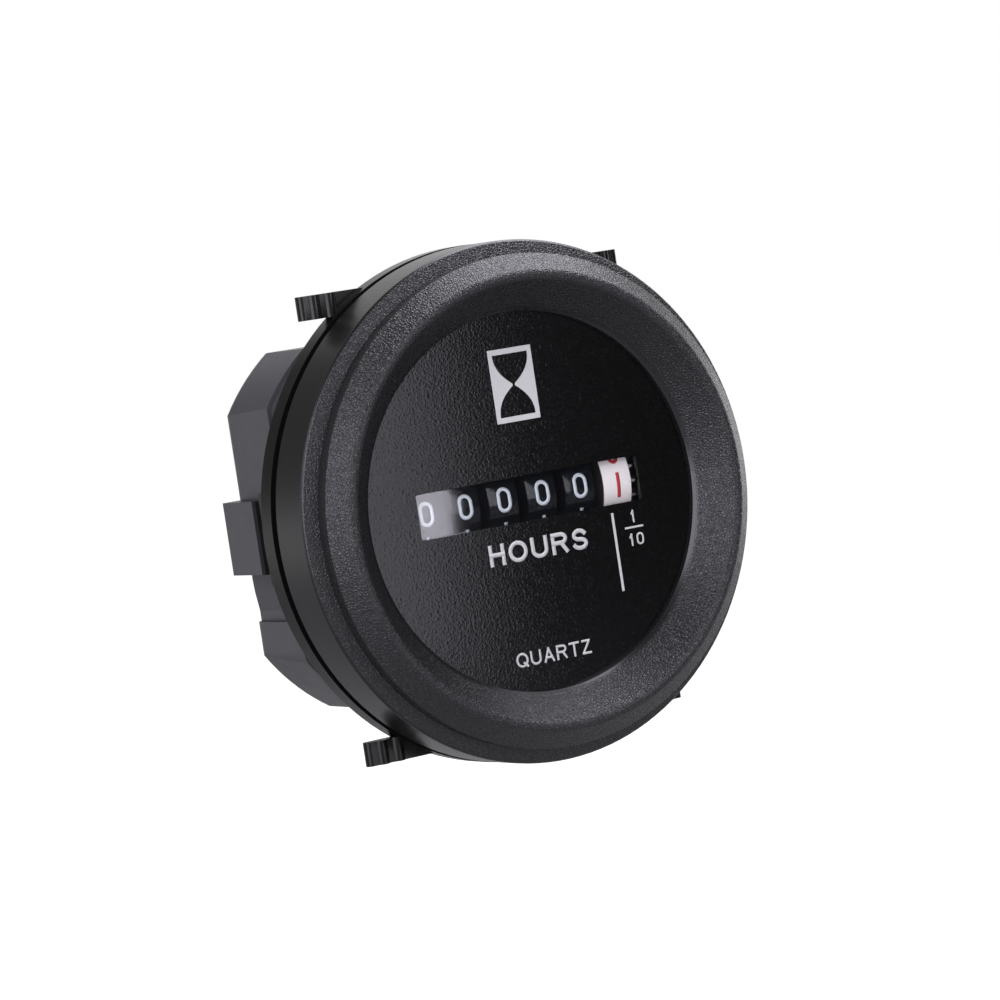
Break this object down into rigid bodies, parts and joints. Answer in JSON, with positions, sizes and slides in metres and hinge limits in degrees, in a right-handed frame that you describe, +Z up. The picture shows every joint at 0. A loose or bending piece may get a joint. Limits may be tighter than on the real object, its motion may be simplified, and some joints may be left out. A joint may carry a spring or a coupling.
{
  "type": "hour meter",
  "caption": "Round panel-mount hour meter with a ridged bezel, number-wheel counter behind a window, barrel housing, clip-on retaining ring and spade terminals.",
  "frame": {"origin": "centre of the panel seat, the rear face of the bezel", "axes": "+Y along the barrel towards the terminals, the dial faces -Y, +Z up with the figures upright"},
  "size_m": [0.0586, 0.0432, 0.0586],
  "materials": {
    "bezel_plastic": "fine grained moulding",
    "dial_black": "leather grain",
    "clear_pane": "gloss",
    "gasket_rubber": "matt",
    "ring_plastic": "satin",
    "housing_plastic": "satin",
    "frame_plastic": "satin",
    "wheel_black": "satin, white figures",
    "wheel_white": "satin, red figures",
    "nylon_white": "satin",
    "steel": "turned",
    "magnet": "matt",
    "copper_wire": "enamelled",
    "board_green": "solder mask",
    "chip_black": "matt",
    "crystal_can": "drawn",
    "capacitor_sleeve": "gloss",
    "resistor_body": "lacquer",
    "tinned_brass": "tinned"
  },
  "bodies": {
    "meter_case": {"bezel": "bezel_plastic", "dial_plate": "dial_black", "window_pane": "clear_pane", "panel_gasket": "gasket_rubber", "retaining_ring": "ring_plastic", "rear_housing": "housing_plastic", "counter_frame": "frame_plastic", "wheel_axle": "steel", "pinion_axle": "steel", "drive_stud": "steel", "gear_plate": "frame_plastic", "stator": "steel", "coil_core": "steel", "coil_bobbin": "nylon_white", "coil_winding": "copper_wire", "circuit_board": "board_green", "timer_chip": "chip_black", "quartz_crystal": "crystal_can", "capacitor": "capacitor_sleeve", "diode": "chip_black", "resistors": "resistor_body", "positive_terminal": "tinned_brass", "negative_terminal": "tinned_brass", "frame_screws": "steel", "plate_screws": "steel", "board_screws": "steel"},
    "tenths_wheel": {"tenths_wheel": "wheel_white"},
    "hour_wheel_5": {"hour_wheel_5": "wheel_black"},
    "hour_wheel_4": {"hour_wheel_4": "wheel_black"},
    "hour_wheel_3": {"hour_wheel_3": "wheel_black"},
    "hour_wheel_2": {"hour_wheel_2": "wheel_black"},
    "hour_wheel_1": {"hour_wheel_1": "wheel_black"},
    "transfer_pinion_5": {"transfer_pinion_5": "nylon_white"},
    "transfer_pinion_4": {"transfer_pinion_4": "nylon_white"},
    "transfer_pinion_3": {"transfer_pinion_3": "nylon_white"},
    "transfer_pinion_2": {"transfer_pinion_2": "nylon_white"},
    "transfer_pinion_1": {"transfer_pinion_1": "nylon_white"},
    "drive_gear": {"drive_gear": "nylon_white"},
    "reduction_gear": {"reduction_gear": "nylon_white"},
    "rotor": {"rotor_arbor": "nylon_white", "rotor_magnet": "magnet"}
  },
  "joints": [
    {"name": "tenths_wheel_spin", "type": "hinge", "parent": "meter_case", "child": "tenths_wheel", "pos_m": [0, 0.00165, 0.00042], "axis": [-1, 0, 0], "continuous": true},
    {"name": "hour_wheel_5_spin", "type": "hinge", "parent": "meter_case", "child": "hour_wheel_5", "pos_m": [0, 0.00165, 0.00042], "axis": [-1, 0, 0], "continuous": true},
    {"name": "hour_wheel_4_spin", "type": "hinge", "parent": "meter_case", "child": "hour_wheel_4", "pos_m": [0, 0.00165, 0.00042], "axis": [-1, 0, 0], "continuous": true},
    {"name": "hour_wheel_3_spin", "type": "hinge", "parent": "meter_case", "child": "hour_wheel_3", "pos_m": [0, 0.00165, 0.00042], "axis": [-1, 0, 0], "continuous": true},
    {"name": "hour_wheel_2_spin", "type": "hinge", "parent": "meter_case", "child": "hour_wheel_2", "pos_m": [0, 0.00165, 0.00042], "axis": [-1, 0, 0], "continuous": true},
    {"name": "hour_wheel_1_spin", "type": "hinge", "parent": "meter_case", "child": "hour_wheel_1", "pos_m": [0, 0.00165, 0.00042], "axis": [-1, 0, 0], "continuous": true},
    {"name": "transfer_pinion_5_spin", "type": "hinge", "parent": "meter_case", "child": "transfer_pinion_5", "pos_m": [0, -0.00185, -0.00564], "axis": [-1, 0, 0], "continuous": true},
    {"name": "transfer_pinion_4_spin", "type": "hinge", "parent": "meter_case", "child": "transfer_pinion_4", "pos_m": [0, -0.00185, -0.00564], "axis": [-1, 0, 0], "continuous": true},
    {"name": "transfer_pinion_3_spin", "type": "hinge", "parent": "meter_case", "child": "transfer_pinion_3", "pos_m": [0, -0.00185, -0.00564], "axis": [-1, 0, 0], "continuous": true},
    {"name": "transfer_pinion_2_spin", "type": "hinge", "parent": "meter_case", "child": "transfer_pinion_2", "pos_m": [0, -0.00185, -0.00564], "axis": [-1, 0, 0], "continuous": true},
    {"name": "transfer_pinion_1_spin", "type": "hinge", "parent": "meter_case", "child": "transfer_pinion_1", "pos_m": [0, -0.00185, -0.00564], "axis": [-1, 0, 0], "continuous": true},
    {"name": "drive_gear_spin", "type": "hinge", "parent": "meter_case", "child": "drive_gear", "pos_m": [0, 0.00701, 0.00492], "axis": [-1, 0, 0], "continuous": true},
    {"name": "reduction_gear_spin", "type": "hinge", "parent": "meter_case", "child": "reduction_gear", "pos_m": [0, 0.01401, 0.00492], "axis": [-1, 0, 0], "continuous": true},
    {"name": "rotor_spin", "type": "hinge", "parent": "meter_case", "child": "rotor", "pos_m": [0, 0.01301, -0.00221], "axis": [-1, 0, 0], "continuous": true}
  ],
  "couplings": [
    {"joint": "hour_wheel_5_spin", "follows": "tenths_wheel_spin", "ratio": 0.1},
    {"joint": "hour_wheel_4_spin", "follows": "tenths_wheel_spin", "ratio": 0.01},
    {"joint": "hour_wheel_3_spin", "follows": "tenths_wheel_spin", "ratio": 0.001},
    {"joint": "hour_wheel_2_spin", "follows": "tenths_wheel_spin", "ratio": 0.0001},
    {"joint": "hour_wheel_1_spin", "follows": "tenths_wheel_spin", "ratio": 0.00001},
    {"joint": "transfer_pinion_5_spin", "follows": "tenths_wheel_spin", "ratio": -0.25},
    {"joint": "transfer_pinion_4_spin", "follows": "tenths_wheel_spin", "ratio": -0.025},
    {"joint": "transfer_pinion_3_spin", "follows": "tenths_wheel_spin", "ratio": -0.0025},
    {"joint": "transfer_pinion_2_spin", "follows": "tenths_wheel_spin", "ratio": -0.00025},
    {"joint": "transfer_pinion_1_spin", "follows": "tenths_wheel_spin", "ratio": -0.000025},
    {"joint": "drive_gear_spin", "follows": "tenths_wheel_spin", "ratio": -2.5},
    {"joint": "reduction_gear_spin", "follows": "tenths_wheel_spin", "ratio": 10},
    {"joint": "rotor_spin", "follows": "tenths_wheel_spin", "ratio": -50}
  ]
}
